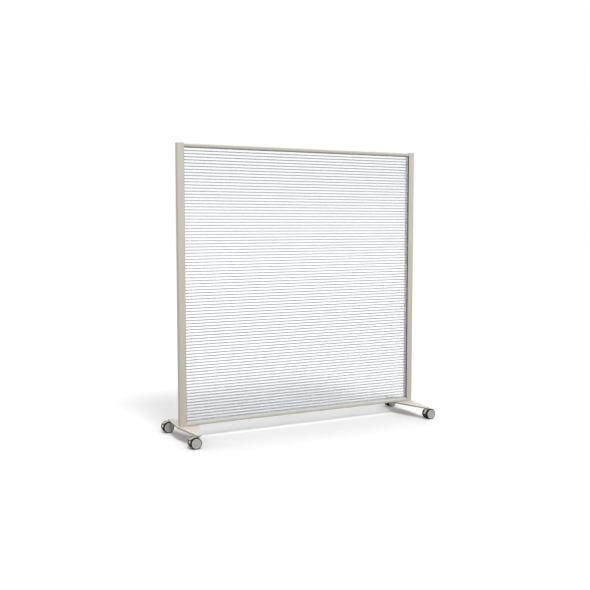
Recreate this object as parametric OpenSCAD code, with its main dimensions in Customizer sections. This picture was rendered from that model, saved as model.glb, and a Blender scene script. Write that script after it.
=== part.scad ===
// Rolling partition: a slim square frame that holds one clear fluted sheet, carried by
// two wing-shaped feet on four twin-wheel swivel casters. Millimetres, +Z up. The origin
// is on the floor under the middle of the screen, X runs along its width, and the side
// drawn at -Y is called the front.

/* [Frame] */
// Width over the outer faces of the two posts
frame_w = 1600; // [900:10:2200]
// Height of the frame, from the underside of the posts to the top of their caps
frame_h = 1600; // [1000:10:2000]
// Width of a post, seen from the front
post_w = 38; // [36:1:50]
// Depth of a post, front to back
post_d = 38; // [38:1:50]
// Wall of the post extrusion
post_wall = 2; // [1.6:0.1:2.4]
// Radius of the post's long edges
post_edge_r = 2; // [0.5:0.1:2.5]
// Height of a rail
rail_h = 20; // [18:0.5:26]
// Depth of a rail, front to back
rail_d = 36; // [35:0.5:38]
// Radius of the rail's rounded long edges
rail_edge_r = 7; // [3:0.5:8]
// Thickness of a post's end cap
cap_t = 2.8; // [2:0.1:5]
// Height of the plug under an end cap
cap_plug_h = 10; // [6:1:20]
// Wall of that plug
cap_plug_t = 1.6; // [1:0.1:2.5]
// Wall round the glazing slot and its chambers
web_t = 1.8; // [1.5:0.1:2]
// Radius of the tube round a screw port in the post
port_r = 4.5; // [4:0.1:4.8]
// Wall round the two chambers in a rail's floor
rail_wall = 2; // [1.5:0.1:2.5]
// Width of the core between them
rail_core = 10; // [8:0.5:12]

/* [Sheet] */
// Thickness of the fluted sheet
panel_t = 16; // [12:0.5:17]
// Distance from one rib of the sheet to the next
rib_pitch = 17.4; // [12:0.1:24]
// Thickness of a rib
rib_t = 0.8; // [0.5:0.1:1.5]
// Thickness of each skin of the sheet
skin_t = 0.9; // [0.6:0.1:1.5]
// How far the sheet reaches into each post
side_bite = 10; // [8:0.5:11]
// Depth of the glazing slot in a post
slot_depth = 14; // [13.5:0.5:15]
// Depth of the glazing channel in a rail
channel_depth = 10.8; // [10:0.1:12]
// Gap over the sheet for it to grow when it is warm
growth_gap = 2; // [1:0.5:4]
// Thickness of a gasket's leg, between sheet and slot wall
gasket_leg_t = 2.5; // [2:0.1:2.8]
// Thickness of a gasket's base, under the sheet's edge
gasket_base_t = 1.5; // [1:0.1:2]
// How far the post gaskets stand out over the sheet
gasket_lip = 6; // [3:0.5:10]
// Thickness of that lip at its free edge
gasket_lip_t = 1; // [0.6:0.1:1.8]

/* [Corner joints] */
// Thickness of a corner cleat
cleat_t = 3.2; // [2.5:0.1:3.2]
// Height of the cleat's finger in the rail
cleat_finger_h = 11; // [8:0.5:11]
// Reach of the finger into the rail
cleat_reach = 42; // [30:1:80]
// Length of the cleat's leg in the post
cleat_leg = 48; // [36:1:90]
// Width of that leg
cleat_leg_w = 11.8; // [8:0.2:12.6]
// Radius of the cleat's set screws
set_screw_r = 2; // [1.5:0.1:2.5]
// Height of the lower set screw over the leg's end
set_screw_rise = 12; // [6:1:20]

/* [Feet] */
// Distance from the screen's middle plane to a foot's tip
foot_reach = 232; // [190:1:300]
// Thickness of a foot under its post
foot_t = 11; // [10:0.5:16]
// Thickness of a foot at its tips
foot_tip_t = 8; // [8:0.5:10]
// How far a foot stands out past the post's outer face
foot_outset = 11; // [2:1:20]
// How far a foot reaches in under the rail, from the post's outer face
foot_inset = 118; // [100:1:160]
// Radius of the outer bend beside the post
foot_bend_r = 30; // [28:1:45]
// Radius of the point under the rail
foot_point_r = 12; // [8:1:16]
// Width of a foot's tip
foot_tip_w = 32; // [28:1:40]
// Corner radius of a foot's tip
foot_tip_r = 9; // [5:0.5:12]
// Distance from the post's outer face to the tip's outer edge
foot_tip_in = 14; // [10:1:20]
// Size of the softened top edge
foot_edge = 2; // [1:0.1:3]
// Height of the softened bottom edge
foot_base_edge = 2; // [0.5:0.5:3]
// Depth of the pockets under a foot
pocket_depth = 5; // [3:0.5:5.5]
// Wall left round the pockets
pocket_rim = 5; // [4:0.5:8]
// Thickness of the ribs across a pocket
pocket_rib_t = 3; // [2:0.5:5]
// Number of pockets in each arm of a foot
pocket_count = 4; // [2:1:5]
// Length of foot left solid at each tip, over the caster
tip_solid = 85; // [70:1:110]

/* [Foot bolts] */
// Radius of a bolt
bolt_r = 2.5; // [2:0.1:3]
// Radius of its head
bolt_head_r = 4.5; // [4:0.1:5]
// Height of its head, sunk in the foot
bolt_head_h = 5; // [3:0.5:6]
// Reach of a bolt into the post
bolt_grip = 24; // [12:1:60]
// Reach of a bolt into the rail
rail_bolt_grip = 6; // [4:0.5:7]
// Distance from the foot's inner point to the rail's bolt
rail_bolt_in = 20; // [16:1:40]

/* [Casters] */
// Diameter of a caster wheel
wheel_dia = 65; // [56:1:66]
// Width of one wheel
wheel_w = 17; // [14:0.5:19]
// Thickness of the tyre's ring
tyre_t = 6.5; // [4:0.5:8]
// Radius of the tyre's rounded edge
tyre_edge_r = 2.5; // [1:0.5:4]
// Horizontal distance from the swivel axis to the axle
caster_trail = 22; // [19:0.5:24]
// Distance from the post's outer face to the swivel axis
swivel_in = 30; // [28:0.5:32]
// Distance from the foot's tip to the swivel axis
swivel_from_tip = 16; // [14:0.5:22]
// Gap between the top of the wheels and the foot
wheel_clear = 3; // [2.5:0.5:6]
// Radius of the axle
axle_r = 4; // [3:0.5:5]
// Width of the housing between the wheels
housing_w = 18; // [17:0.5:22]
// Radius of the swivel spindle
spindle_r = 5; // [4:0.5:5.5]
// Height of the spindle's hexagon
hex_h = 6; // [4:0.5:7]
// Size of the hexagon across its flats
hex_af = 13; // [11:1:16]
// Radius of the spindle's thread in the foot
thread_r = 4; // [3:0.5:5]
// What is left of the foot over the thread's end
thread_cover = 1.6; // [1.2:0.1:3]
// Height of the spindle's lower end
spindle_z = 28; // [27:0.5:36]
// Room under the spindle's lower end
spindle_room = 2; // [0.5:0.5:2.5]
// Height of the housing's lower edge
skirt_z = 24; // [20:0.5:25]
// How far the hood stands out over the wheels
hood_rise = 1; // [0.5:0.1:1.5]
// Thickness of the hood over its hollow
hood_t = 3; // [2:0.1:3.6]
// Thickness of the cheeks beside the hollow
cheek_t = 3; // [2:0.1:3.5]

/* [Wheel hubs] */
// Radius of the boss round the axle
hub_boss_r = 8; // [6.5:0.5:10]
// Thickness of the web
hub_web_t = 3.4; // [2:0.1:5]
// Thickness of the rim under the tyre
hub_rim_t = 3; // [2:0.1:4]
// How far the web lies behind the rim's face
hub_recess = 1.2; // [0.4:0.1:2]
// Bevel of the rim and the boss at that face
hub_bevel = 0.6; // [0.2:0.1:1.2]
// Thickness left over the blind end of the axle's bore
hub_cover_t = 4; // [2:0.5:6]
// Gap between the axle's end and the end of its bore
axle_room = 0.5; // [0.3:0.1:1]

/* [Brake pedal] */
// Radius of the pedal's pin
pin_r = 1.5; // [1:0.1:2]
// Depth of the pin's centre under the hood's surface
pin_depth = 8.5; // [8:0.1:10]
// Lean of the pin from straight over the axle, in degrees
pin_lean = 15; // [13:0.5:17]
// Radius of the pedal's eye round the pin
pedal_eye_r = 4.5; // [3:0.1:4.7]
// Lean at which the hood's gap for the pedal starts, in degrees
gap_from = 20; // [19:0.5:21]
// Lean at which that gap ends, in degrees
gap_to = 62; // [56:1:74]
// Depth of that gap
gap_depth = 7; // [6.5:0.5:9]
// Thickness of the tread
pedal_t = 4; // [3:0.1:4.4]
// Lean at which the tread starts, in degrees
tread_from = 22; // [21.5:0.5:24]
// Lean at which the tread ends, in degrees
tread_to = 54; // [46:1:58]
// Height of the released tread's end over the hood
tread_lift = 9; // [8:0.5:14]
// Width of the toe, over both tyres
toe_w = 28; // [20:1:44]
// Thickness of the toe
toe_t = 2.5; // [1.5:0.1:3]
// Length of the toe
toe_l = 8.6; // [6:0.2:10]

/* [Clearances] */
// Play between a shaft and its bore, on the radius
running_clear = 0.05; // [0.02:0.01:0.09]
// Play between a screw and its hole, on the radius
screw_clear = 0.05; // [0.02:0.01:0.2]
// Play round a cleat in its chamber
cleat_clear = 0.2; // [0.1:0.05:0.2]
// Play round an end cap's plug
cap_clear = 0.2; // [0.1:0.05:0.4]
// Play beside the pedal's arm
arm_clear = 0.3; // [0.2:0.05:0.6]
// Gap between a wheel and the housing
wheel_gap = 0.75; // [0.5:0.05:1.5]
// Gap between the housing and the spindle's hexagon
swivel_gap = 0.3; // [0.2:0.05:0.8]

/* [Hidden] */
$fn = 96;
eps = 0.01;

paint = [0.80, 0.77, 0.70];
paint_dark = [0.74, 0.71, 0.64];
sheet_clear = [0.88, 0.92, 0.96, 0.6];
rubber_black = [0.10, 0.10, 0.10];
steel = [0.62, 0.62, 0.62];
hub_grey = [0.60, 0.60, 0.58];
hood_grey = [0.72, 0.72, 0.70];

// Heights of the stack, from the floor up
wheel_r = wheel_dia / 2;
foot_z = wheel_dia + wheel_clear;
floor_gap = foot_z + foot_t;
cap_z = floor_gap + frame_h - cap_t;
top_rail_z = cap_z - rail_h;

// The glazing slot, the same width in posts and rails
slot_w = panel_t + 2 * gasket_leg_t;

// The sheet
rail_len = frame_w - 2 * post_w;
panel_w = rail_len + 2 * side_bite;
panel_z = floor_gap + rail_h - channel_depth + gasket_base_t;
panel_top = top_rail_z + channel_depth - gasket_base_t - growth_gap;
panel_h = panel_top - panel_z;
rib_count = floor((panel_h - rib_t) / rib_pitch) + 1;

// The chamber in a rail's leg, which takes a cleat's finger
chamber_y = slot_w / 2 + web_t;
chamber_w = cleat_t + 2 * cleat_clear;
chamber_h = cleat_finger_h + 2 * cleat_clear;
chamber_z = (rail_h - chamber_h) / 2;
cleat_y = chamber_y + cleat_clear;
set_screw_l = web_t + cleat_clear + cleat_t;

// Screw ports: tubes half sunk in the post's outer walls, open at both ends
port_x = port_r + post_wall / 2;
port_y = post_d / 2 - port_r - post_wall / 2;

// Places on a foot, measured from the post's outer face
tip_outer_x = foot_tip_in + foot_tip_r;
tip_inner_x = foot_tip_in + foot_tip_w - foot_tip_r;
tip_y = foot_reach - foot_tip_r;
bend_x = foot_bend_r - foot_outset;
point_x = foot_inset - foot_point_r;
rail_bolt_x = foot_inset - rail_bolt_in;
pocket_from_y = port_y + bolt_head_r + pocket_rim;
pocket_to_y = foot_reach - tip_solid;

// Casters, measured from the swivel axis on the floor, trailing towards -X
swivel_y = foot_reach - swivel_from_tip;
hex_r = hex_af / 2 / cos(30);
housing_top = foot_z - hex_h - swivel_gap;
thread_l = foot_tip_t - thread_cover;
hood_r = wheel_r + hood_rise;
hub_r = wheel_r - tyre_t;
hub_bore_l = wheel_w - hub_cover_t;
wheel_y = housing_w / 2 + wheel_gap;
axle_l = 2 * (wheel_y + hub_bore_l - axle_room);

// The brake pedal, released. Angles lean from straight up towards the trailing side.
pin_at = leaning(hood_r - pin_depth, pin_lean);
tread_start = leaning(hood_r, tread_from);
tread_end = leaning(hood_r + tread_lift, tread_to);
tread_dir = (tread_end - tread_start) / norm(tread_end - tread_start);
tread_down = [-tread_dir[1], tread_dir[0]];

SIDES = ["left", "right"];
ENDS = ["front", "rear"];
CASTERS = [for (side = SIDES) for (end = ENDS) [side, end]];
CASTER_PARTS = ["housing", "axle", "front_hub", "front_tyre", "rear_hub", "rear_tyre",
                "brake_pedal", "pedal_pin"];
function caster_node(caster, part) = str(caster[1], "_", caster[0], "_caster_", part);

// ---- Placing ----

// Moves a piece drawn from the post's outer face inwards (+X) to its side of the screen
module on_side(side) {
    mirror([side == "right" ? 1 : 0, 0, 0])
        translate([-frame_w / 2, 0, 0])
            children();
}

// Moves a piece drawn round the swivel axis to its corner
module at_caster(caster) {
    on_side(caster[0])
        translate([swivel_in, caster[1] == "front" ? -swivel_y : swivel_y, 0])
            children();
}

// Turns a profile drawn in Y and Z into a bar of length l along X, centred
module bar_along_x(l) {
    rotate([90, 0, 90])
        translate([0, 0, -l / 2])
            linear_extrude(l)
                children();
}

// A copy at +Y and a mirrored one at -Y
module both_faces() {
    children();
    mirror([0, 1, 0])
        children();
}

// ---- Outlines ----

module round_rect(w, h, r) {
    translate([r, 0])
        square([w - 2 * r, h]);
    translate([0, r])
        square([w, h - 2 * r]);
    for (x = [r, w - r], y = [r, h - r])
        translate([x, y])
            circle(r);
}

// The post's section, x from its outer face, the sheet's slot on the other side
module post_section() {
    difference() {
        translate([0, -post_d / 2])
            round_rect(post_w, post_d, post_edge_r);
        difference() {
            translate([post_wall, -post_d / 2 + post_wall])
                square([post_w - 2 * post_wall, post_d - 2 * post_wall]);
            translate([post_w - slot_depth - web_t, -slot_w / 2 - web_t])
                square([post_w, slot_w + 2 * web_t]);
            for (s = [-1, 1])
                translate([port_x, s * port_y])
                    circle(port_r);
        }
        translate([post_w - slot_depth, -slot_w / 2])
            square([post_w, slot_w]);
        for (s = [-1, 1])
            translate([port_x, s * port_y])
                circle(bolt_r + screw_clear);
    }
}

// The rail's section in Y and Z, lying on z = 0 with its channel open upwards
module rail_section() {
    floor_t = rail_h - channel_depth;
    side_w = (slot_w - rail_core) / 2;
    difference() {
        translate([-rail_d / 2, 0])
            round_rect(rail_d, rail_h, rail_edge_r);
        translate([-slot_w / 2, floor_t])
            square([slot_w, rail_h]);
        for (s = [-1, 1]) {
            translate([s * (chamber_y + chamber_w / 2) - chamber_w / 2, chamber_z])
                square([chamber_w, chamber_h]);
            translate([s * (rail_core + side_w) / 2 - side_w / 2, rail_wall])
                square([side_w, floor_t - 2 * rail_wall]);
        }
    }
}

// ---- Frame ----

// The inner wall is notched at both ends, where the cleats' fingers pass
module post() {
    notch_h = chamber_z + chamber_h;
    color(paint)
        difference() {
            translate([0, 0, floor_gap])
                linear_extrude(cap_z - floor_gap)
                    post_section();
            for (z = [floor_gap - 1, cap_z - notch_h])
                both_faces()
                    translate([post_w - post_wall - 1, chamber_y, z])
                        cube([post_wall + 2, chamber_w, notch_h + 1]);
        }
}

// End cap: a plate over the post's section and a hollow plug between the screw ports
module post_cap() {
    plug_x = post_wall + cap_clear;
    plug_w = post_w - slot_depth - web_t - cap_clear - plug_x;
    plug_d = 2 * (port_y - port_r - cap_clear);
    color(paint)
        union() {
            translate([0, -post_d / 2, cap_z])
                linear_extrude(cap_t)
                    round_rect(post_w, post_d, post_edge_r);
            difference() {
                translate([plug_x, -plug_d / 2, cap_z - cap_plug_h])
                    cube([plug_w, plug_d, cap_plug_h + eps]);
                translate([plug_x + cap_plug_t, cap_plug_t - plug_d / 2, cap_z - cap_plug_h - 1])
                    cube([plug_w - 2 * cap_plug_t, plug_d - 2 * cap_plug_t, cap_plug_h]);
            }
        }
}

module bottom_rail() {
    color(paint_dark)
        difference() {
            translate([0, 0, floor_gap])
                bar_along_x(rail_len)
                    rail_section();
            for (side = SIDES)
                on_side(side)
                    translate([rail_bolt_x, 0, floor_gap - 1])
                        cylinder(r = bolt_r + screw_clear, h = rail_bolt_grip + 2);
        }
}

module top_rail() {
    color(paint_dark)
        translate([0, 0, cap_z])
            mirror([0, 0, 1])
                bar_along_x(rail_len)
                    rail_section();
}

// ---- Sheet and gaskets ----

// Two skins joined by level ribs. The lowest rib closes the bottom edge.
module fluted_sheet() {
    flute_d = panel_t - 2 * skin_t;
    flute_h = rib_pitch - rib_t;
    color(sheet_clear)
        translate([0, 0, panel_z])
            bar_along_x(panel_w)
                difference() {
                    translate([-panel_t / 2, 0])
                        square([panel_t, panel_h]);
                    for (i = [0 : rib_count - 1])
                        translate([-flute_d / 2, rib_t + i * rib_pitch])
                            square([flute_d, flute_h]);
                }
}

// U strip in the post's slot, with a lip that covers the edge of the sheet in view
module post_gasket() {
    lip_z = floor_gap + rail_h;
    color(rubber_black)
        union() {
            translate([0, 0, panel_z])
                linear_extrude(panel_h)
                    difference() {
                        translate([post_w - slot_depth, -slot_w / 2])
                            square([slot_depth, slot_w]);
                        translate([post_w - slot_depth + gasket_base_t, -panel_t / 2])
                            square([slot_depth, panel_t]);
                    }
            translate([0, 0, lip_z])
                linear_extrude(top_rail_z - lip_z)
                    both_faces()
                        polygon([[post_w - 1, panel_t / 2],
                                 [post_w + gasket_lip, panel_t / 2],
                                 [post_w + gasket_lip, panel_t / 2 + gasket_lip_t],
                                 [post_w, slot_w / 2],
                                 [post_w - 1, slot_w / 2]]);
        }
}

// U strip in a rail's channel, lying on z = 0 with its mouth up
module rail_gasket() {
    color(rubber_black)
        bar_along_x(rail_len)
            difference() {
                translate([-slot_w / 2, 0])
                    square([slot_w, channel_depth]);
                translate([-panel_t / 2, gasket_base_t])
                    square([panel_t, channel_depth]);
            }
}

// ---- Corner joints ----

// One cleat of a top corner: a finger in the rail's leg and a leg down inside the post
module cleat() {
    color(steel)
        difference() {
            translate([0, cleat_y, 0])
                union() {
                    translate([post_w - post_wall - cleat_leg_w, 0, cap_z - cleat_leg])
                        cube([cleat_leg_w, cleat_t, cleat_leg - chamber_z - cleat_clear]);
                    translate([post_w - post_wall - 1, 0,
                               cap_z - chamber_z - cleat_clear - cleat_finger_h])
                        cube([post_wall + 1 + cleat_reach, cleat_t, cleat_finger_h]);
                }
            cleat_screw_places()
                cylinder(r = set_screw_r + screw_clear, h = cleat_t * 2 + web_t);
        }
}

// The two set screws of one cleat, each drawn along +Z from the slot's wall outwards
module cleat_screw_places() {
    for (place = [[post_w + cleat_reach / 2, cap_z - rail_h / 2],
                  [post_w - post_wall - cleat_leg_w / 2, cap_z - cleat_leg + set_screw_rise]])
        translate([place[0], slot_w / 2, place[1]])
            rotate([-90, 0, 0])
                children();
}

// All four places of a thing drawn at the top corner's +Y face, at both ends of both posts
module at_corners() {
    for (side = SIDES)
        on_side(side)
            both_faces() {
                children();
                translate([0, 0, floor_gap + cap_z])
                    mirror([0, 0, 1])
                        children();
            }
}

module cleat_screws() {
    color(steel)
        at_corners()
            cleat_screw_places()
                cylinder(r = set_screw_r, h = set_screw_l);
}

// Holes for the set screws, cut from posts and rails
module cleat_screw_holes() {
    at_corners()
        cleat_screw_places()
            translate([0, 0, -1])
                cylinder(r = set_screw_r + screw_clear, h = web_t + 1 + cleat_clear);
}

// ---- Feet ----

// One level of the foot's outline, drawn in from the edge by inset. The root level lies at
// root_z and the tips at tip_z.
module foot_level(inset, root_z, tip_z) {
    disc_fn = 32;
    for (disc = [[bend_x, foot_bend_r], [point_x, foot_point_r]])
        translate([disc[0], 0, root_z])
            cylinder(r = disc[1] - inset, h = eps, $fn = disc_fn * 2);
    for (x = [tip_outer_x, tip_inner_x], y = [-tip_y, tip_y])
        translate([x, y, tip_z])
            cylinder(r = foot_tip_r - inset, h = eps, $fn = disc_fn);
}

// The wing: flat beneath, falling a little from the post to the tips, top edge softened
module foot_body() {
    tip_top = foot_z + foot_tip_t - eps;
    hull() {
        foot_level(0.3 * foot_base_edge, foot_z, foot_z);
        foot_level(0, foot_z + foot_base_edge, foot_z + foot_base_edge);
        foot_level(0, floor_gap - eps - foot_edge, tip_top - foot_edge);
        foot_level(0.3 * foot_edge, floor_gap - eps - 0.3 * foot_edge, tip_top - 0.3 * foot_edge);
        foot_level(foot_edge, floor_gap - eps, tip_top);
    }
}

// Where the wing's straight edges run, at distance y from the middle plane
function edge_x(root_x, tip_x, y) = root_x + (tip_x - root_x) * y / foot_reach;
function outer_edge_x(y) = edge_x(-foot_outset, foot_tip_in, y);
function inner_edge_x(y) = edge_x(foot_inset, foot_tip_in + foot_tip_w, y);

// One row of pockets under an arm, with ribs between them
module foot_pockets() {
    step = (pocket_to_y - pocket_from_y + pocket_rib_t) / pocket_count;
    for (i = [0 : pocket_count - 1]) {
        y0 = pocket_from_y + i * step;
        y1 = y0 + step - pocket_rib_t;
        translate([0, 0, foot_z - 1])
            linear_extrude(pocket_depth + 1)
                polygon([[outer_edge_x(y0) + pocket_rim, y0],
                         [inner_edge_x(y0) - pocket_rim, y0],
                         [inner_edge_x(y1) - pocket_rim, y1],
                         [outer_edge_x(y1) + pocket_rim, y1]]);
    }
}

module foot() {
    color(paint)
        difference() {
            foot_body();
            both_faces()
                foot_pockets();
            for (s = [-1, 1]) {
                translate([port_x, s * port_y, foot_z - 1])
                    cylinder(r = bolt_head_r + screw_clear, h = bolt_head_h + 1);
                translate([port_x, s * port_y, foot_z])
                    cylinder(r = bolt_r + screw_clear, h = foot_t + 1);
                translate([swivel_in, s * swivel_y, foot_z - 1])
                    cylinder(r = thread_r + screw_clear, h = thread_l + swivel_gap + 1);
            }
            translate([rail_bolt_x, 0, foot_z - 1])
                cylinder(r = bolt_head_r + screw_clear, h = bolt_head_h + 1);
            translate([rail_bolt_x, 0, foot_z])
                cylinder(r = bolt_r + screw_clear, h = foot_t + 1);
        }
}

// A socket-head bolt, head down, its head's underside on z = 0
module foot_bolt(grip) {
    color(steel)
        difference() {
            union() {
                cylinder(r = bolt_r, h = grip);
                translate([0, 0, -bolt_head_h])
                    cylinder(r = bolt_head_r, h = bolt_head_h);
            }
            translate([0, 0, -bolt_head_h - 1])
                cylinder(r = bolt_head_r / 2, h = bolt_head_h / 2 + 1, $fn = 6);
        }
}

module post_bolts() {
    for (side = SIDES, s = [-1, 1])
        on_side(side)
            translate([port_x, s * port_y, foot_z + bolt_head_h])
                foot_bolt(foot_t - bolt_head_h + bolt_grip);
}

module rail_bolts() {
    for (side = SIDES)
        on_side(side)
            translate([rail_bolt_x, 0, foot_z + bolt_head_h])
                foot_bolt(foot_t - bolt_head_h + rail_bolt_grip);
}

// ---- Casters ----

// Screwed into the foot: thread, hexagon, and the spindle that the housing turns on
module caster_spindle() {
    color(steel)
        union() {
            translate([0, 0, spindle_z])
                cylinder(r = spindle_r, h = foot_z - hex_h - spindle_z + eps);
            translate([0, 0, foot_z - hex_h])
                cylinder(r = hex_r, h = hex_h, $fn = 6);
            translate([0, 0, foot_z - eps])
                cylinder(r = thread_r, h = thread_l);
        }
}

// Draws in the caster's side plane: profile x and y become X and Z from the axle, y width w
module side_plate(w) {
    translate([-caster_trail, w / 2, wheel_r])
        rotate([90, 0, 0])
            linear_extrude(w)
                children();
}

// A point at radius r, leaning by a degrees from straight up to the trailing side
function leaning(r, a) = [-r * sin(a), r * cos(a)];

// The wedge between two leans, out past the hood
module lean_wedge(a0, a1) {
    far = 2 * hood_r;
    polygon([[0, 0], leaning(far, a0), leaning(far, (a0 + a1) / 2), leaning(far, a1)]);
}

// Hood and cheeks between the wheels, open beneath, with the spindle's socket in front
module housing() {
    color(hood_grey)
        difference() {
            union() {
                difference() {
                    side_plate(housing_w)
                        difference() {
                            circle(hood_r);
                            translate([-2 * hood_r, -2 * hood_r])
                                square([4 * hood_r, 2 * hood_r + skirt_z - wheel_r]);
                            difference() {
                                lean_wedge(gap_from, gap_to);
                                circle(hood_r - gap_depth);
                            }
                        }
                    side_plate(housing_w - 2 * cheek_t)
                        difference() {
                            circle(hood_r - hood_t);
                            translate([caster_trail - housing_w / 2, -2 * hood_r])
                                square([2 * hood_r, 4 * hood_r]);
                        }
                }
                translate([0, 0, skirt_z])
                    cylinder(r = housing_w / 2, h = housing_top - skirt_z);
            }
            translate([0, 0, spindle_z - spindle_room])
                cylinder(r = spindle_r + running_clear, h = foot_z);
            translate([0, 0, housing_top])
                cylinder(r = hex_r + 2 * swivel_gap, h = foot_z);
            side_plate(housing_w + 2)
                circle(axle_r);
            side_plate(housing_w + 2)
                translate(pin_at)
                    circle(pin_r);
        }
}

module axle() {
    color(steel)
        side_plate(axle_l)
            circle(axle_r);
}

// Turns a wheel profile, drawn in radius and distance from the housing, round the axle
module on_axle(end) {
    mirror([0, end == "rear" ? 1 : 0, 0])
        translate([-caster_trail, -wheel_y, wheel_r])
            rotate([90, 0, 0])
                rotate_extrude()
                    children();
}

// Cup-shaped hub: rim, web with a raised ring and centre, and a boss with a blind bore
module hub(end) {
    bore = axle_r + running_clear;
    web_in = wheel_w - hub_recess - hub_web_t;
    rim_in = hub_r - hub_rim_t;
    color(hub_grey)
        on_axle(end)
            polygon([[bore, 0], [hub_boss_r, 0], [hub_boss_r, web_in], [rim_in, web_in],
                     [rim_in, 0], [hub_r, 0], [hub_r, wheel_w],
                     [rim_in + hub_bevel, wheel_w], [rim_in, wheel_w - hub_recess],
                     [hub_boss_r, wheel_w - hub_recess], [hub_boss_r - hub_bevel, wheel_w],
                     [0, wheel_w], [0, hub_bore_l], [bore, hub_bore_l]]);
}

module tyre(end) {
    color(rubber_black)
        on_axle(end)
            translate([hub_r, 0])
                union() {
                    square([tyre_t - tyre_edge_r, wheel_w]);
                    translate([0, tyre_edge_r])
                        square([tyre_t, wheel_w - 2 * tyre_edge_r]);
                    for (z = [tyre_edge_r, wheel_w - tyre_edge_r])
                        translate([tyre_t - tyre_edge_r, z])
                            circle(tyre_edge_r);
                }
}

// The last part of the pedal's tread, l long and t thick
module tread(l, t) {
    from = tread_end - l * tread_dir;
    polygon([from, tread_end, tread_end + t * tread_down, from + t * tread_down]);
}

// Eye on the pin, arm, a tread that lifts off the hood and a wide toe over both tyres
module brake_pedal() {
    tread_l = norm(tread_end - tread_start);
    under = 0.9 * pedal_t * tread_down;
    color(hood_grey)
        difference() {
            union() {
                side_plate(housing_w - 2 * (cheek_t + arm_clear)) {
                    translate(pin_at)
                        circle(pedal_eye_r);
                    polygon([pin_at, tread_start + under,
                             tread_start + 0.45 * tread_l * tread_dir + under,
                             pin_at - [0, 0.8 * pedal_eye_r]]);
                }
                side_plate(housing_w)
                    tread(tread_l, pedal_t);
                side_plate(toe_w)
                    tread(toe_l, toe_t);
            }
            side_plate(housing_w + 2)
                translate(pin_at)
                    circle(pin_r + running_clear);
        }
}

module pedal_pin() {
    color(steel)
        side_plate(housing_w)
            translate(pin_at)
                circle(pin_r);
}

module caster_part(part) {
    if (part == "housing") housing();
    if (part == "axle") axle();
    if (part == "front_hub") hub("front");
    if (part == "front_tyre") tyre("front");
    if (part == "rear_hub") hub("rear");
    if (part == "rear_tyre") tyre("rear");
    if (part == "brake_pedal") brake_pedal();
    if (part == "pedal_pin") pedal_pin();
}

// ---- The pieces in place ----

module drilled_for_cleats() {
    difference() {
        children();
        cleat_screw_holes();
    }
}

drilled_for_cleats() on_side("left") post();  // left_post
drilled_for_cleats() on_side("right") post();  // right_post
on_side("left") post_cap();  // left_post_cap
on_side("right") post_cap();  // right_post_cap
drilled_for_cleats() top_rail();
drilled_for_cleats() bottom_rail();
fluted_sheet();
on_side("left") post_gasket();  // left_gasket
on_side("right") post_gasket();  // right_gasket
translate([0, 0, top_rail_z + channel_depth]) mirror([0, 0, 1]) rail_gasket();  // top_gasket
translate([0, 0, floor_gap + rail_h - channel_depth]) rail_gasket();  // bottom_gasket
at_corners() cleat();  // corner_cleats
cleat_screws();
on_side("left") foot();  // left_foot
on_side("right") foot();  // right_foot
post_bolts();
rail_bolts();
for (caster = CASTERS) at_caster(caster) caster_spindle();  // caster_spindles
for (caster = CASTERS, part = CASTER_PARTS)
    at_caster(caster) caster_part(part);
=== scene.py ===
# %% [markdown]
# # A rolling partition
# This lesson dresses a screen on wheels for a product picture. The screen is a slim square
# frame round one clear fluted sheet, on two flat feet with twin-wheel casters. The machinist's
# solids come first, as an imported frame that nothing here moves or resizes. They could be drawn
# again from their sizes, but then two models would have to be kept alike. So some of them only
# get a finish. Others are copied or modelled again, in the same place, to give them softer
# edges or finer detail.

# %% The imported frame
import math

import bmesh
import bpy
from mathutils import Matrix, Vector


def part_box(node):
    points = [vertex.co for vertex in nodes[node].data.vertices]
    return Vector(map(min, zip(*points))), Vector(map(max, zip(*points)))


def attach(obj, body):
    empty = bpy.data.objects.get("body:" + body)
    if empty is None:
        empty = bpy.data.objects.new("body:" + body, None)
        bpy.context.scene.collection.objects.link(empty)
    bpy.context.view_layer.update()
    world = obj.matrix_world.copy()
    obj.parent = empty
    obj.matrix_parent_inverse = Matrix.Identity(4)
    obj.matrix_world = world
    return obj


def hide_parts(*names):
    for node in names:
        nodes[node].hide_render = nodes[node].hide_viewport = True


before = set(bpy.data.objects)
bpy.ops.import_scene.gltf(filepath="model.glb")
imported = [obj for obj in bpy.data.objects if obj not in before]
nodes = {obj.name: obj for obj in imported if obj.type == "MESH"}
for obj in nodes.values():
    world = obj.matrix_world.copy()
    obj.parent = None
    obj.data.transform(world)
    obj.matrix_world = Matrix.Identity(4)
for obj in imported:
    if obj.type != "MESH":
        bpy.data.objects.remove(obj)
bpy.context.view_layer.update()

# %% [markdown]
# ## The camera
# The photograph was taken from the left, a little above the middle of the screen. Such a view
# can be found by eye, by turning the camera until the posts and rails fall on the picture, or
# worked out from the edges of the frame, whose real sizes are known. The second way was used
# here, because a frame has long straight edges that show the view within half a pixel. The far
# limit, in metres, only has to lie beyond the last corner of the floor.

# %% The camera
CAMERA_PLACE = (-2.5403, -4.6448, 1.2348)
TURN_RIGHT = math.radians(28.173)
TILT_DOWN = math.radians(4.696)
LENS_MM = 53.52
SENSOR_MM = 36
FAR_LIMIT = 100

bpy.ops.object.camera_add(location=CAMERA_PLACE, rotation=(math.pi / 2 - TILT_DOWN, 0, -TURN_RIGHT))
camera = bpy.context.object
camera.name = "photo_camera"
camera.data.lens = LENS_MM
camera.data.sensor_width = SENSOR_MM
camera.data.clip_end = FAR_LIMIT
bpy.context.scene.camera = camera
print("camera", tuple(round(v, 3) for v in camera.location))

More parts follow.
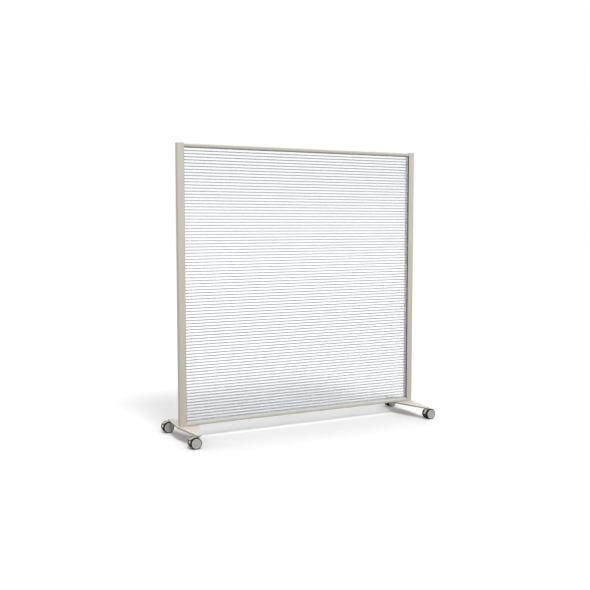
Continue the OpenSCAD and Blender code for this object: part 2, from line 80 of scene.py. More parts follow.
# %% [markdown]
# ## The lamps
# A studio picture like this one has soft light from all round, a large lamp high in front and
# a weaker one a little behind. The front lamp throws the screen's shadow back, and the other
# throws a faint one forward, so that a bright line stays between them on the floor. Area lamps
# would do, but their light falls off across a screen that is 1.6 m wide. A sun lamp is as
# bright everywhere, and its spread sets how soft the edges of its shadows are. Both lamps stay
# at a plain level, so that a finish renders about as its colour is written.

# %% The lamps
FRONT = 1.85
BEHIND = 0.46
LAMP_PLACE = (0, 0, 4)


def sun(name, strength, lean_front, lean_right, spread):
    """A far lamp that leans, in degrees, from straight up to the front (-Y) and right (+X)."""
    bpy.ops.object.light_add(type="SUN", location=LAMP_PLACE)
    lamp = bpy.context.object
    lamp.name = name
    lamp.data.energy = strength
    lamp.data.angle = math.radians(spread)
    toward = Vector((math.tan(math.radians(lean_right)), -math.tan(math.radians(lean_front)), 1))
    lamp.rotation_euler = toward.to_track_quat("Z", "Y").to_euler()
    print(name, "strength", strength)


sun("front_light", FRONT, lean_front=39, lean_right=-2.5, spread=16)
sun("light_behind", BEHIND, lean_front=-11, lean_right=0, spread=14)

# %% [markdown]
# ## The white world
# The background is white paper, and a white world is the simplest way to show it. But such a
# world would also flood the screen with light. The Light Path node tells what a ray is for, so
# the world can be full white to the camera, to glossy surfaces and to clear plastic, and give
# only a plain level of light to everything else.

# %% The white world
WHITE = (1, 1, 1, 1)
WORLD_SEEN = 1
AMBIENT = 0.79


def ray_is(tree, *kinds):
    """A socket that is 1 for rays of the named kinds and 0 for all others."""
    rays = tree.nodes.new("ShaderNodeLightPath")
    found = rays.outputs[f"Is {kinds[0]} Ray"]
    for kind in kinds[1:]:
        either = tree.nodes.new("ShaderNodeMath")
        either.operation = "MAXIMUM"
        tree.links.new(found, either.inputs[0])
        tree.links.new(rays.outputs[f"Is {kind} Ray"], either.inputs[1])
        found = either.outputs[0]
    return found


def paper_world():
    world = bpy.data.worlds.new("white_paper")
    bpy.context.scene.world = world
    world.use_nodes = True
    tree = world.node_tree
    tree.nodes.clear()
    mix = tree.nodes.new("ShaderNodeMixShader")
    tree.links.new(ray_is(tree, "Camera", "Glossy", "Transmission"), mix.inputs["Fac"])
    for place, strength in ((1, AMBIENT), (2, WORLD_SEEN)):
        shade = tree.nodes.new("ShaderNodeBackground")
        shade.inputs["Color"].default_value = WHITE
        shade.inputs["Strength"].default_value = strength
        tree.links.new(shade.outputs[0], mix.inputs[place])
    out = tree.nodes.new("ShaderNodeOutputWorld")
    tree.links.new(mix.outputs[0], out.inputs["Surface"])


paper_world()
bpy.context.scene.view_settings.view_transform = "Standard"
print("world:", WORLD_SEEN, "where it is seen,", AMBIENT, "as light")

# %% [markdown]
# ## The paper floor
# The floor is more of the same paper. In full white it would be brighter than the picture can
# show, and its shadows would fade. A grey floor would keep them, but it would look grey. So
# the floor has a pale tone where it is seen, a darker one for the light that bounces off it,
# and a lighter one where it shows through the sheet. It is a stage, and no piece of the screen.

# %% The paper floor
FLOOR_SIZE = 60
FLOOR_SEEN = 0.775
FLOOR_THROUGH = 0.88
FLOOR_BOUNCE = 0.4


def blend(tree, factor, low, high):
    """A colour from low to high. Each of them is a colour, or a socket that gives one."""
    mix = tree.nodes.new("ShaderNodeMix")
    mix.data_type = "RGBA"
    tree.links.new(factor, mix.inputs["Factor"])
    for side, colour in (("A", low), ("B", high)):
        if isinstance(colour, bpy.types.NodeSocket):
            tree.links.new(colour, mix.inputs[side])
        else:
            mix.inputs[side].default_value = (*colour, 1)
    return mix.outputs["Result"]


def grey(level):
    return (level, level, level)


def paper_floor():
    bpy.ops.mesh.primitive_plane_add(size=FLOOR_SIZE)
    floor = bpy.context.object
    floor.name = "paper_floor"
    paper = bpy.data.materials.new("paper_floor")
    paper.use_nodes = True
    tree = paper.node_tree
    shader = tree.nodes["Principled BSDF"]
    shade = blend(tree, ray_is(tree, "Camera", "Glossy"), grey(FLOOR_BOUNCE), grey(FLOOR_SEEN))
    through = blend(tree, ray_is(tree, "Transmission"), shade, grey(FLOOR_THROUGH))
    tree.links.new(through, shader.inputs["Base Color"])
    shader.inputs["Roughness"].default_value = 1
    shader.inputs["Specular IOR Level"].default_value = 0
    floor.data.materials.append(paper)


paper_floor()
print("floor:", FLOOR_SEEN, "where it is seen,", FLOOR_BOUNCE, "for bounces")

# %% [markdown]
# ## Noise for every finish
# No finish of the real screen is quite even: its colour and gloss wander from place to place.
# Photographs of each surface could bring that in, but they show their seams where they repeat.
# Noise textures have no seams and need no files. They read Object coordinates, which are
# metres from the middle of the floor, so a scale of 1000 makes grains about a millimetre wide.
# The helpers make a new finish, a noise, and a colour and roughness that follow the noise.

# %% Noise for every finish


def new_finish(name):
    """A material with its node tree and its shader."""
    made = bpy.data.materials.new(name)
    made.use_nodes = True
    return made, made.node_tree, made.node_tree.nodes["Principled BSDF"]


def noise(tree, scale, detail):
    """A noise texture that stays with the object."""
    place = tree.nodes.new("ShaderNodeTexCoord")
    texture = tree.nodes.new("ShaderNodeTexNoise")
    texture.inputs["Scale"].default_value = scale
    texture.inputs["Detail"].default_value = detail
    tree.links.new(place.outputs["Object"], texture.inputs["Vector"])
    return texture.outputs["Fac"]


def wander(tree, shader, cloud, low, high, rough, reach):
    """Colour from low to high, and roughness within reach of rough, as the cloud goes."""
    tree.links.new(blend(tree, cloud, low, high), shader.inputs["Base Color"])
    gloss = tree.nodes.new("ShaderNodeMapRange")
    gloss.inputs["To Min"].default_value = rough - reach
    gloss.inputs["To Max"].default_value = rough + reach
    tree.links.new(cloud, gloss.inputs["Value"])
    tree.links.new(gloss.outputs["Result"], shader.inputs["Roughness"])


# %% [markdown]
# ## A solid finish
# Powder coat, rubber and moulded plastic differ in colour, gloss and grain, and in little else.
# Each could have a node tree made by hand, but one function makes them all alike, and a finish
# is then a single line: its colour, its roughness, the scale of its grain and the strength of
# the bump that the grain makes. A colour is written in sRGB, as a colour picker shows it, and
# is turned into the linear values that a shader works with.

# %% A solid finish
CLOUD_SCALE = 6
CLOUD_DETAIL = 4
COLOUR_DRIFT = 0.04
GLOSS_REACH = 0.06
GRAIN_DETAIL = 2
GRAIN_DEPTH = 0.0003


def srgb(r, g, b):
    """The linear colour of a written sRGB colour, 0 to 255."""
    linear = []
    for c in (r, g, b):
        c = c / 255
        linear.append(c / 12.92 if c <= 0.04045 else ((c + 0.055) / 1.055) ** 2.4)
    return linear


def finish(name, colour, rough, grain, bump, metal=0.0, shine=0.5):
    """A solid finish with a wandering colour and gloss, and a bump of that grain."""
    made, tree, shader = new_finish(name)
    shader.inputs["Metallic"].default_value = metal
    shader.inputs["Specular IOR Level"].default_value = shine
    low = [c * (1 - COLOUR_DRIFT) for c in colour]
    high = [min(1, c * (1 + COLOUR_DRIFT)) for c in colour]
    wander(tree, shader, noise(tree, CLOUD_SCALE, CLOUD_DETAIL), low, high, rough, GLOSS_REACH)
    relief = tree.nodes.new("ShaderNodeBump")
    relief.inputs["Strength"].default_value = bump
    relief.inputs["Distance"].default_value = GRAIN_DEPTH
    tree.links.new(noise(tree, grain, GRAIN_DETAIL), relief.inputs["Height"])
    tree.links.new(relief.outputs["Normal"], shader.inputs["Normal"])
    return made


# %% [markdown]
# ## Powder coat and zinc
# The frame and the feet are aluminium under a warm grey powder coat, which is baked on and
# leaves a fine orange-peel grain and little gloss. One coat for all of it would be simpler. But
# the rails are a shade cooler than the posts, and the feet get two copies of the coat: a paler
# one, which is painted light on their tops, and a darker one on their upright sides, which is
# painted shade. So there are four. Screws, axles and cleats are zinc-plated steel.
# Zinc is a bare metal, so its colour tints what it mirrors.

# %% Powder coat and zinc
powder_coat = finish("powder_coat", srgb(191, 184, 173), 0.5, 900, 0.25)
# The feet's coat is the powder coat painted paler: painted light on their tops.
foot_coat_painted_light = finish("foot_coat_painted_light", srgb(206, 200, 188), 0.5, 900, 0.25)
# A darker copy of the feet's coat for their upright sides: painted shade.
foot_side_painted_shade = finish("foot_side_painted_shade", srgb(162, 156, 147), 0.6, 900, 0.3)
rail_coat = finish("rail_coat", srgb(188, 185, 175), 0.45, 900, 0.2)
zinc = finish("zinc", srgb(178, 178, 176), 0.35, 700, 0.15, metal=1.0)
print("metal finishes:", powder_coat.name, foot_coat_painted_light.name, foot_side_painted_shade.name, rail_coat.name, zinc.name)

# %% [markdown]
# ## Rubber, tape and moulded plastic
# The gaskets and tyres are rubber, dull and finely grained. A dark colour alone would leave the
# tyres grey, because even black rubber shines where light grazes it, so they get less shine as
# well. The hubs and hoods are moulded plastic with more gloss. The tape and the plugs at the
# sheet's edges are pale.

# %% Rubber, tape and moulded plastic
# Dark rubber for the side gaskets. On their wings it is partly painted shade on the posts' inner sides.
gasket_rubber = finish("gasket_rubber", srgb(108, 113, 114), 0.75, 1400, 0.3)
# The gasket rubber painted pale for the top and bottom gaskets: painted light in the shade of the rail
# channels.
gasket_painted_light = finish("gasket_painted_light", srgb(206, 208, 206), 0.6, 1400, 0.3)
tyre_rubber = finish("tyre_rubber", srgb(26, 25, 22), 0.75, 1500, 0.3, shine=0.25)
edge_tape = finish("edge_tape", srgb(204, 207, 208), 0.5, 800, 0.3)
end_plug = finish("end_plug", srgb(238, 240, 240), 0.8, 800, 0.3)
hub_plastic = finish("hub_plastic", srgb(168, 165, 159), 0.5, 1200, 0.15)
hub_rim = finish("hub_rim", srgb(191, 187, 180), 0.4, 1200, 0.15)
hood_plastic = finish("hood_plastic", srgb(192, 189, 182), 0.42, 1200, 0.15)
# Painted shade for the foot of the hoods' cheeks, which lies in shade.
hood_painted_shade = finish("hood_painted_shade", srgb(48, 47, 44), 0.55, 1200, 0.2, shine=0.3)
print("rubber and plastic:", tyre_rubber.name, hub_plastic.name, hood_plastic.name, "and six more")

# %% [markdown]
# ## Clear plastic
# The sheet is clear but full of edges: two skins, and a rib every 17.4 mm whose corners bend
# the light away and look grey. Real refraction through ninety flutes is slow and noisy. Here
# each face lets part of the light straight through and softens the rest, which gives the same
# milky view of what stands behind. The rounded corners get a darker finish of their own, so
# that the lines stay as dark near eye level as they do far above it. The clear lip that lies
# on the sheet's edges is the same plastic with less milk in it.

# %% Clear plastic
PLASTIC_IOR = 1.3
HAZE_SCALE = 3
HAZE_DETAIL = 2
HAZE_LOW = 0.985
HAZE_REACH = 0.04
SHEET_WHITE = (0.955, 0.978, 1.0)
RIB_GREY = (0.31, 0.325, 0.345)


def clear_plastic(name, colour, alpha, rough, through):
    """Plastic that lets 1 - alpha of the light straight through and softens the rest."""
    made, tree, shader = new_finish(name)
    shader.inputs["Alpha"].default_value = alpha
    shader.inputs["Transmission Weight"].default_value = through
    shader.inputs["IOR"].default_value = PLASTIC_IOR
    low = [c * HAZE_LOW for c in colour]
    wander(tree, shader, noise(tree, HAZE_SCALE, HAZE_DETAIL), low, colour, rough, HAZE_REACH)
    return made


sheet_skin = clear_plastic("sheet_skin", SHEET_WHITE, alpha=0.24, rough=0.35, through=1.0)
sheet_rib = clear_plastic("sheet_rib", RIB_GREY, alpha=0.9, rough=0.4, through=0.0)
clear_lip = clear_plastic("clear_lip", SHEET_WHITE, alpha=0.12, rough=0.35, through=1.0)
print("clear finishes:", sheet_skin.name, sheet_rib.name, clear_lip.name)

# %% [markdown]
# ## Working by hand in code
# A mesh could be written as lists of points and faces, but nobody can try that out by hand. So
# the pieces below are made with the operators that the menus offer. An operator acts on all
# that is selected, and helpers keep the selection in hand: one makes an object the only
# selected one, and one picks edges or faces by a test. Another puts an object's place, turn
# and scale into its mesh, so that the object itself stays at the origin, and one joins two.

# %% Working by hand in code
MERGE_WITHIN = 1e-6


def only(obj):
    """Leaves edit mode and makes this object the only selected one."""
    if bpy.context.object and bpy.context.object.mode == "EDIT":
        bpy.ops.object.mode_set(mode="OBJECT")
    bpy.ops.object.select_all(action="DESELECT")
    obj.select_set(True)
    bpy.context.view_layer.objects.active = obj


def pick(obj, kind, wanted):
    """In edit mode, selects the edges or faces that pass the test and nothing else."""
    bpy.ops.mesh.select_mode(type=kind)
    bpy.ops.mesh.select_all(action="DESELECT")
    mesh = bmesh.from_edit_mesh(obj.data)
    for item in (mesh.edges if kind == "EDGE" else mesh.faces):
        item.select_set(wanted(item))
    bmesh.update_edit_mesh(obj.data)


def settle(obj):
    """Puts the object's place, turn and scale into its mesh."""
    only(obj)
    bpy.ops.object.transform_apply(location=True, rotation=True, scale=True)


def join(obj, other):
    """Makes the other object part of this one."""
    only(obj)
    other.select_set(True)
    bpy.ops.object.join()


# %% [markdown]
# ## A box, and a second finish
# Two more helpers save steps. One makes a plain box between two corners, with its finishes in
# its slots. The other gives some faces of a piece another finish. A finish that stops in the
# middle of a face could be painted through a mask, but an exported model may lose the mask. It
# is safer to cut the face along a plane with bisect and to give one side of it another slot.

# %% A box, and a second finish


def block(name, low, high, coats):
    """A box between two corners, with its place in its mesh."""
    low, high = Vector(low), Vector(high)
    bpy.ops.object.select_all(action="DESELECT")
    bpy.ops.mesh.primitive_cube_add(size=1, location=(low + high) / 2)
    made = bpy.context.object
    made.name = name
    made.scale = high - low
    settle(made)
    for coat in coats:
        made.data.materials.append(coat)
    return made


def give_slot(obj, slot, wanted):
    """In edit mode, gives that slot to the faces that pass the test."""
    pick(obj, "FACE", wanted)
    obj.active_material_index = slot
    bpy.ops.object.material_slot_assign()


def second_finish(obj, coat, wanted, cuts=()):
    """Cuts the faces along level or upright planes and gives the wanted ones another finish."""
    only(obj)
    obj.data.materials.append(coat)
    bpy.ops.object.mode_set(mode="EDIT")
    for axis, place in cuts:
        facing = Vector((axis == "x", 0, axis == "z"))
        bpy.ops.mesh.select_all(action="SELECT")
        bpy.ops.mesh.bisect(plane_co=facing * place, plane_no=facing)
    give_slot(obj, len(obj.data.materials) - 1, wanted)
    bpy.ops.object.mode_set(mode="OBJECT")


# %% [markdown]
# ## The fluted sheet
# A sheet like this is squeezed out of a die in one go: two skins and all the ribs between
# them, with a small round where each rib meets a skin. It could be cut from a block, one
# Boolean for each flute, but the flutes don't touch each other, so it is simpler to model the
# empty space. First comes the outside, a plain slab. Pale tape covers its two ends, which sit
# in the posts, and shows as a strip along its foot in front, just above the bottom rail. Real
# tape is so thin that a second finish does for it, and no strips have to be laid on.

# %% The slab and its tape
TAPE_W = 0.012
FOOT_TAPE_SHOWS = 0.0032
MOSTLY = 0.5

low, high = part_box("fluted_sheet")
clear_sheet = block("clear_sheet", low, high, (sheet_skin, sheet_rib))
left_tape, right_tape = low.x + TAPE_W, high.x - TAPE_W
foot_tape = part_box("bottom_rail")[1].z + FOOT_TAPE_SHOWS


def is_taped(face):
    middle = face.calc_center_median()
    in_front = middle.z < foot_tape and face.normal.y < -MOSTLY
    return in_front or not left_tape < middle.x < right_tape


tape_cuts = (("x", left_tape), ("x", right_tape), ("z", foot_tape))
second_finish(clear_sheet, edge_tape, is_taped, tape_cuts)
print("slab, faces:", len(clear_sheet.data.polygons))

# %% [markdown]
# ## One flute
# A flute is a long empty cell. It could be drawn as an outline and pulled along the sheet, but
# a box with its four long edges bevelled has the same shape in two steps. Its faces are turned
# round, because they are seen from the inside. The bevels are the rounds that look like dark
# lines. The flute stops short of the sheet's ends, where a pale plug closes it.

# %% One flute
RIB_PITCH = 0.0174
RIB_T = 0.0008
SKIN_T = 0.0009
CORNER_R = 0.0017
PLUG_L = 0.0125
LONG_EDGE = 1
SQUARE = 0.999
RIB_SLOT = 1
PLUG_SLOT = 2

flute_low = (low.x + PLUG_L, low.y + SKIN_T, low.z + RIB_T)
flute_high = (high.x - PLUG_L, high.y - SKIN_T, low.z + RIB_PITCH)


def is_end(face):
    return abs(face.normal.x) > MOSTLY


def is_round(face):
    return not is_end(face) and max(abs(face.normal.y), abs(face.normal.z)) < SQUARE


flute = block("flute", flute_low, flute_high, (sheet_skin, sheet_rib, end_plug))
bpy.ops.object.mode_set(mode="EDIT")
pick(flute, "EDGE", lambda edge: edge.calc_length() > LONG_EDGE)
bpy.ops.mesh.bevel(offset=CORNER_R, segments=3)
give_slot(flute, RIB_SLOT, is_round)
give_slot(flute, PLUG_SLOT, is_end)
bpy.ops.mesh.select_all(action="SELECT")
bpy.ops.mesh.flip_normals()
bpy.ops.object.mode_set(mode="OBJECT")
print("flute, faces:", len(flute.data.polygons))

# %% [markdown]
# ## The whole stack of flutes
# The flutes lie one above the other at the pitch of the ribs, and the gap between two of them
# is the rib. A loop could copy the flute as often, but an array modifier does it in one step,
# and its count is worked out from the height of the sheet. Joined to the slab, the flutes
# become its inner faces.

# %% The whole stack of flutes
flute_count = int((high.z - low.z - RIB_T) / RIB_PITCH)
stack = flute.modifiers.new("up the sheet", "ARRAY")
stack.use_relative_offset = False
stack.use_constant_offset = True
stack.constant_offset_displace = (0, 0, RIB_PITCH)
stack.count = flute_count
bpy.ops.object.modifier_apply(modifier=stack.name)
join(clear_sheet, flute)
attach(clear_sheet, "screen")
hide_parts("fluted_sheet")
print("flutes:", flute_count, "faces:", len(clear_sheet.data.polygons))

# %% [markdown]
# ## Softer copies of the solids
# Many solids already have the right shape, but their edges are perfectly sharp, and a sharp
# edge never catches the light. Such a piece could be modelled again from a box. It is quicker
# and truer to copy the solid: its loose triangles are merged into whole faces, and its edges
# get a small bevel. The copy leaves behind the marks that tie the solid to its body, and is
# then told what it rides on. Its name says which solid it stands for, and that solid is hidden.

# %% Softer copies of the solids
FLAT_WITHIN = math.radians(0.5)


def softened(node, body, coat, width, sharp=40):
    """A copy of a CAD node with merged faces, bevelled edges and smooth shading."""
    source = nodes[node]
    made = source.copy()
    made.data = source.data.copy()
    made.name = node + "_finished"
    made.data.name = made.name
    for key in list(made.keys()):
        del made[key]
    made.parent = None
    bpy.context.scene.collection.objects.link(made)
    only(made)
    bpy.ops.object.mode_set(mode="EDIT")
    bpy.ops.mesh.select_all(action="SELECT")
    bpy.ops.mesh.remove_doubles(threshold=MERGE_WITHIN)
    bpy.ops.mesh.dissolve_limited(angle_limit=FLAT_WITHIN)
    bpy.ops.object.mode_set(mode="OBJECT")
    if width:
        soft = made.modifiers.new("soft edges", "BEVEL")
        soft.width = width
        soft.segments = 2
        soft.limit_method = "ANGLE"
        soft.angle_limit = math.radians(sharp)
        bpy.ops.object.modifier_apply(modifier=soft.name)
    bpy.ops.object.shade_smooth_by_angle(angle=math.radians(sharp))
    made.data.materials.clear()
    made.data.materials.append(coat)
    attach(made, body)
    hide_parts(node)
    return made


# %% [markdown]
# ## Posts, caps and feet
# The posts and their caps are sharp solids that a small bevel softens. The feet have their
# rounds in the solid already, and a bevel would only blur them. They need smooth shading. Their
# coat is a paler copy, which is painted light on their tops, and their upright sides get a
# darker copy, which is painted shade.

# %% Posts, caps and feet
POST_SOFTNESS = 0.0003
CAP_SOFTNESS = 0.0005


def is_upright(face):
    return abs(face.normal.z) < MOSTLY


for side in ("left", "right"):
    softened(f"{side}_post", "screen", powder_coat, POST_SOFTNESS)
    softened(f"{side}_post_cap", "screen", powder_coat, CAP_SOFTNESS)
    foot = softened(f"{side}_foot", "screen", foot_coat_painted_light, 0, sharp=50)
    # Painted shade: the upright sides of the foot get the darker copy of its coat.
    second_finish(foot, foot_side_painted_shade, is_upright)
    print(side, "foot, faces:", len(foot.data.polygons))

# %% [markdown]
# ## The gaskets beside the posts
# A gasket like this is squeezed out of two rubbers at once: the body that sits in the post's
# slot is dark, and the thin lip that lies on the sheet is clear, so that it hardly shows. The
# solid already has both, and the copy only needs its faces split where the lip leaves the post.
# A dark line runs along the front edge of each post's inner side, where that side is in shade.
# It is made as a wing of the same dark rubber, which lies flat on the post from the slot nearly
# to the corner: partly a rubber strip, and partly painted shade on the post. A dark stripe on
# the post would look much the same, but the post is one colour all over. So the wing is a thin
# box, joined to the gasket, because on the real thing they are one strip.

# %% The gaskets beside the posts
WING_T = 0.0008
WING_SETBACK = 0.0012
DARK_ROOT = 0.0004
rail_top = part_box("bottom_rail")[1].z
rail_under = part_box("top_rail")[0].z


def post_gasket(side, toward_middle):
    """The gasket of one post, with its clear lip and its dark wing."""
    gasket = softened(f"{side}_gasket", "screen", gasket_rubber, 0)
    post_low, post_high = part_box(f"{side}_post")
    inner_side = post_high.x if side == "left" else post_low.x
    lip_from = abs(inner_side) - DARK_ROOT
    second_finish(gasket, clear_lip, lambda face: abs(face.calc_center_median().x) < lip_from,
                  (("x", lip_from), ("x", -lip_from)))
    slot_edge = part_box(f"{side}_gasket")[0].y
    wing_x = sorted((inner_side, inner_side + toward_middle * WING_T))
    wing_low = (wing_x[0], post_low.y + WING_SETBACK, rail_top)
    wing_high = (wing_x[1], slot_edge, rail_under)
    # The wing: partly a dark rubber strip, partly painted shade on the post's inner side.
    join(gasket, block("wing", wing_low, wing_high, (gasket_rubber,)))
    print(side, "gasket, faces:", len(gasket.data.polygons))


post_gasket("left", 1)
post_gasket("right", -1)

# %% [markdown]
# ## Turning a section round an axle
# A twin-wheel caster has a cup-shaped plastic hub on each side, with a rubber tyre moulded
# round it. Both are round about the axle. A stack of cylinders would take many steps and would
# leave no soft corners, so the natural tool is the spin: half of the section is drawn as a
# line, as a turner would draw it, and swept once round. A new plane is merged to one point,
# and the point is pulled from spot to spot to draw the line. The spots are in millimetres: a
# radius, and a depth from the inner side of the wheel outwards.

# %% Turning a section round an axle
WHEEL_STEPS = 96
WHEEL_SHARP = math.radians(35)
MM = 0.001


def spun(name, section, axle, inner_y, coat):
    """Sweeps (radius, depth) points, in millimetres, round an axle along Y. Depth goes to -Y."""
    bpy.ops.object.select_all(action="DESELECT")
    bpy.ops.mesh.primitive_plane_add(size=10 * MM, location=(0, 0, 0))
    made = bpy.context.object
    made.name = name
    bpy.ops.object.mode_set(mode="EDIT")
    bpy.ops.mesh.select_mode(type="VERT")
    bpy.ops.mesh.select_all(action="SELECT")
    bpy.ops.mesh.merge(type="CENTER")
    spots = [Vector((axle.x + r * MM, inner_y - d * MM, axle.z)) for r, d in section]
    bpy.ops.transform.translate(value=spots[0])
    for here, there in zip(spots, spots[1:]):
        bpy.ops.mesh.extrude_region_move(TRANSFORM_OT_translate={"value": there - here})
    bpy.ops.mesh.select_all(action="SELECT")
    bpy.ops.mesh.spin(steps=WHEEL_STEPS, angle=2 * math.pi, center=axle, axis=(0, 1, 0))
    bpy.ops.mesh.select_all(action="SELECT")
    bpy.ops.mesh.remove_doubles(threshold=MERGE_WITHIN)
    bpy.ops.mesh.normals_make_consistent(inside=False)
    bpy.ops.object.mode_set(mode="OBJECT")
    bpy.ops.object.shade_smooth_by_angle(angle=WHEEL_SHARP)
    made.data.materials.append(coat)
    print(name, "faces:", len(made.data.polygons))
    return made


def arc(middle, radius, start, end, parts=6):
    """Points on an arc of the section, from one angle to another, in degrees."""
    angles = [math.radians(start + (end - start) * i / parts) for i in range(parts + 1)]
    return [(middle[0] + radius * math.cos(a), middle[1] + radius * math.sin(a)) for a in angles]


# %% [markdown]
# ## The tyre
# The tyre is a thick ring of black rubber with rounded shoulders and a tread that is a little
# crowned, so that it rolls on its middle. Its face has a step near the hub, where the hub's rim
# lies. A torus would be too round, so the section is drawn point by point, with an arc for each
# shoulder. The sizes come from the solid tyre and hub of the front left caster.

# %% The tyre
tyre_low, tyre_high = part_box("front_left_caster_front_tyre")
hub_low, hub_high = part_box("front_left_caster_front_hub")
wheel_middle = (tyre_low + tyre_high) / 2
axle = Vector((wheel_middle.x, 0, wheel_middle.z))
TYRE_R = (tyre_high.z - tyre_low.z) / 2 / MM
WIDTH = (tyre_high.y - tyre_low.y) / MM
SEAT_R = (hub_high.z - hub_low.z) / 2 / MM
SHOULDER_R = 3
CROWN = 0.25
CHAMFER = 0.5
CHAMFER_W = 0.8
RIM_LAP = 1.1
RIM_T = 1.6
RIM_GAP = 0.1

rim_r = SEAT_R + RIM_LAP
shoulder_r = TYRE_R - CROWN - SHOULDER_R
step_r = rim_r + RIM_GAP
step_y = WIDTH - RIM_T - RIM_GAP
tyre_section = [(SEAT_R, CHAMFER), (SEAT_R + CHAMFER_W, 0)]
tyre_section += arc((shoulder_r, SHOULDER_R), SHOULDER_R, -90, 0)
tyre_section += [(TYRE_R, WIDTH / 2)]
tyre_section += arc((shoulder_r, WIDTH - SHOULDER_R), SHOULDER_R, 0, 90)
tyre_section += [(step_r + CHAMFER, WIDTH), (step_r, WIDTH - CHAMFER), (step_r, step_y), (SEAT_R, step_y)]
tyre_section += [(SEAT_R, CHAMFER)]
tyre = spun("tyre", tyre_section, axle, tyre_high.y, tyre_rubber)

# %% [markdown]
# ## The hub
# The hub is one moulding: a boss that turns on the axle, a thin web, and a wall that the tyre
# sits on, with a rim that laps over the tyre's face. The outside of the web has a shallow ring
# and a raised middle with a dimple, as moulded hubs have. Cut from a cylinder, each of these
# would be a Boolean of its own, while a section shows them all in one line. The rim is a shade
# paler than the rest, and is found by its distance from the axle.

# %% The hub
BORE_R = 4.05
BORE_DEPTH = 13
BOSS_R = 8
BOSS_DRAFT = 0.3
BOSS_EDGE_R = 1.2
WALL_T = 3
WEB_IN = 12.4
FACE_SETBACK = 1.8
RIM_EDGE_R = 1
RIM_INSIDE_R = 0.8
RIM_DRAFT = 0.6
RING_R = 16
RING_TOP = 1.5
RING_FLOOR = 0.8
RING_DEPTH = 0.8
DIMPLE_R = 2.4
DIMPLE_FLOOR_R = 1.9
DIMPLE_DEPTH = 0.5

wall_r = SEAT_R - WALL_T
face_y = WIDTH - FACE_SETBACK
hub_section = [(BORE_R, 0), (BOSS_R, 0), (BOSS_R, WEB_IN), (wall_r, WEB_IN), (wall_r, 0)]
hub_section += [(SEAT_R, 0), (SEAT_R, WIDTH - RIM_T), (rim_r, WIDTH - RIM_T)]
hub_section += arc((rim_r - RIM_EDGE_R, WIDTH - RIM_EDGE_R), RIM_EDGE_R, 0, 90, 4)
hub_section += arc((wall_r + RIM_INSIDE_R, WIDTH - RIM_INSIDE_R), RIM_INSIDE_R, 90, 180, 3)
hub_section += [(wall_r - RIM_DRAFT, face_y), (RING_R + RING_TOP, face_y)]
hub_section += [(RING_R + RING_FLOOR, face_y - RING_DEPTH), (RING_R - RING_FLOOR, face_y - RING_DEPTH)]
hub_section += [(RING_R - RING_TOP, face_y), (BOSS_R + BOSS_DRAFT, face_y)]
hub_section += arc((BOSS_R - BOSS_EDGE_R, WIDTH - BOSS_EDGE_R), BOSS_EDGE_R, 0, 90, 4)
hub_section += [(DIMPLE_R, WIDTH), (DIMPLE_FLOOR_R, WIDTH - DIMPLE_DEPTH), (0, WIDTH - DIMPLE_DEPTH)]
hub_section += [(0, BORE_DEPTH), (BORE_R, BORE_DEPTH), (BORE_R, 0)]
hub = spun("hub", hub_section, axle, tyre_high.y, hub_plastic)


def is_rim(face):
    out = face.calc_center_median() - axle
    return math.hypot(out.x, out.z) > wall_r * MM


second_finish(hub, hub_rim, is_rim)

# %% [markdown]
# ## Eight wheels from one
# Every wheel of the screen is the same part. Each could be spun at its own axle, but a copy is
# quicker and sure to be the same. A copy gets a mesh of its own, is turned half round if it is
# the rear wheel of its pair, and is moved to where the frame has that wheel. Its place then
# goes into its mesh, and the patterns are removed.

# %% Eight wheels from one
CASTERS = [f"{end}_{side}_caster" for side in ("left", "right") for end in ("front", "rear")]


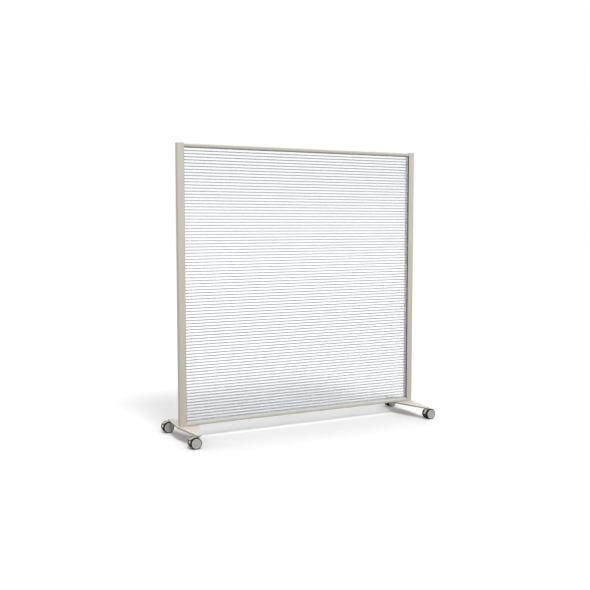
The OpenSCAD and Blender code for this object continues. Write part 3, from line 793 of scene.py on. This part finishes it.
def wheel_piece(pattern, part, caster, wheel):
    """Copies a wheel piece to its place. The rear wheel of a pair is turned half round."""
    made = pattern.copy()
    made.data = pattern.data.copy()
    made.name = f"{caster}_{wheel}_{part}_finished"
    bpy.context.scene.collection.objects.link(made)
    low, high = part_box(f"{caster}_{wheel}_tyre")
    turn = Matrix.Rotation(math.pi if wheel == "rear" else 0, 4, "Z")
    made.matrix_world = Matrix.Translation((low + high) / 2) @ turn @ Matrix.Translation(-wheel_middle)
    settle(made)
    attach(made, f"{caster}_{wheel}_wheel")
    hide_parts(f"{caster}_{wheel}_{part}")


for caster in CASTERS:
    for wheel in ("front", "rear"):
        wheel_piece(tyre, "tyre", caster, wheel)
        wheel_piece(hub, "hub", caster, wheel)
for pattern in (tyre, hub):
    bpy.data.objects.remove(pattern)
print("wheels:", 2 * len(CASTERS))

# %% [markdown]
# ## Hoods and pedals
# A caster's hood is moulded in pale plastic. The foot of its cheeks, between and below the
# wheels, lies in shade, and is painted dark: painted shade. The solid keeps its shape and gets
# soft edges. The painted shade is a second finish below a level cut, since no seam shows there.
# The pedal is moulded in the pale plastic too, and rides on the brake, so that it turns on its pin.

# %% Hoods and pedals
MOULDED_SOFTNESS = 0.0005
# Below this height a hood gets painted shade.
DARK_BELOW = 0.034


def is_low(face):
    return face.calc_center_median().z < DARK_BELOW


for caster in CASTERS:
    hood = softened(f"{caster}_housing", caster, hood_plastic, MOULDED_SOFTNESS)
    # Painted shade below the level cut.
    second_finish(hood, hood_painted_shade, is_low, (("z", DARK_BELOW),))
    softened(f"{caster}_brake_pedal", f"{caster}_brake", hood_plastic, MOULDED_SOFTNESS)
print("hood, faces:", len(hood.data.polygons))

# %% [markdown]
# ## Finishes for the other solids
# The rails and their gaskets, and the small steel parts, are good as they are. Softer copies
# would hardly show, because most of the steel is inside. A solid that is kept gets its finish
# in its own slots, and nothing else of it changes.

# %% Finishes for the other solids
KEPT = {
    rail_coat: ["top_rail", "bottom_rail"],
    # Painted light: the top and bottom gaskets are painted pale against the shade in their channels.
    gasket_painted_light: ["top_gasket", "bottom_gasket"],
    zinc: ["corner_cleats", "cleat_screws", "post_bolts", "rail_bolts", "caster_spindles"]
          + [f"{caster}_{part}" for caster in CASTERS for part in ("axle", "pedal_pin")],
}

for coat, kept in KEPT.items():
    for node in kept:
        slots = nodes[node].data.materials
        slots.clear()
        slots.append(coat)
    print(coat.name, "on", len(kept), "solids")
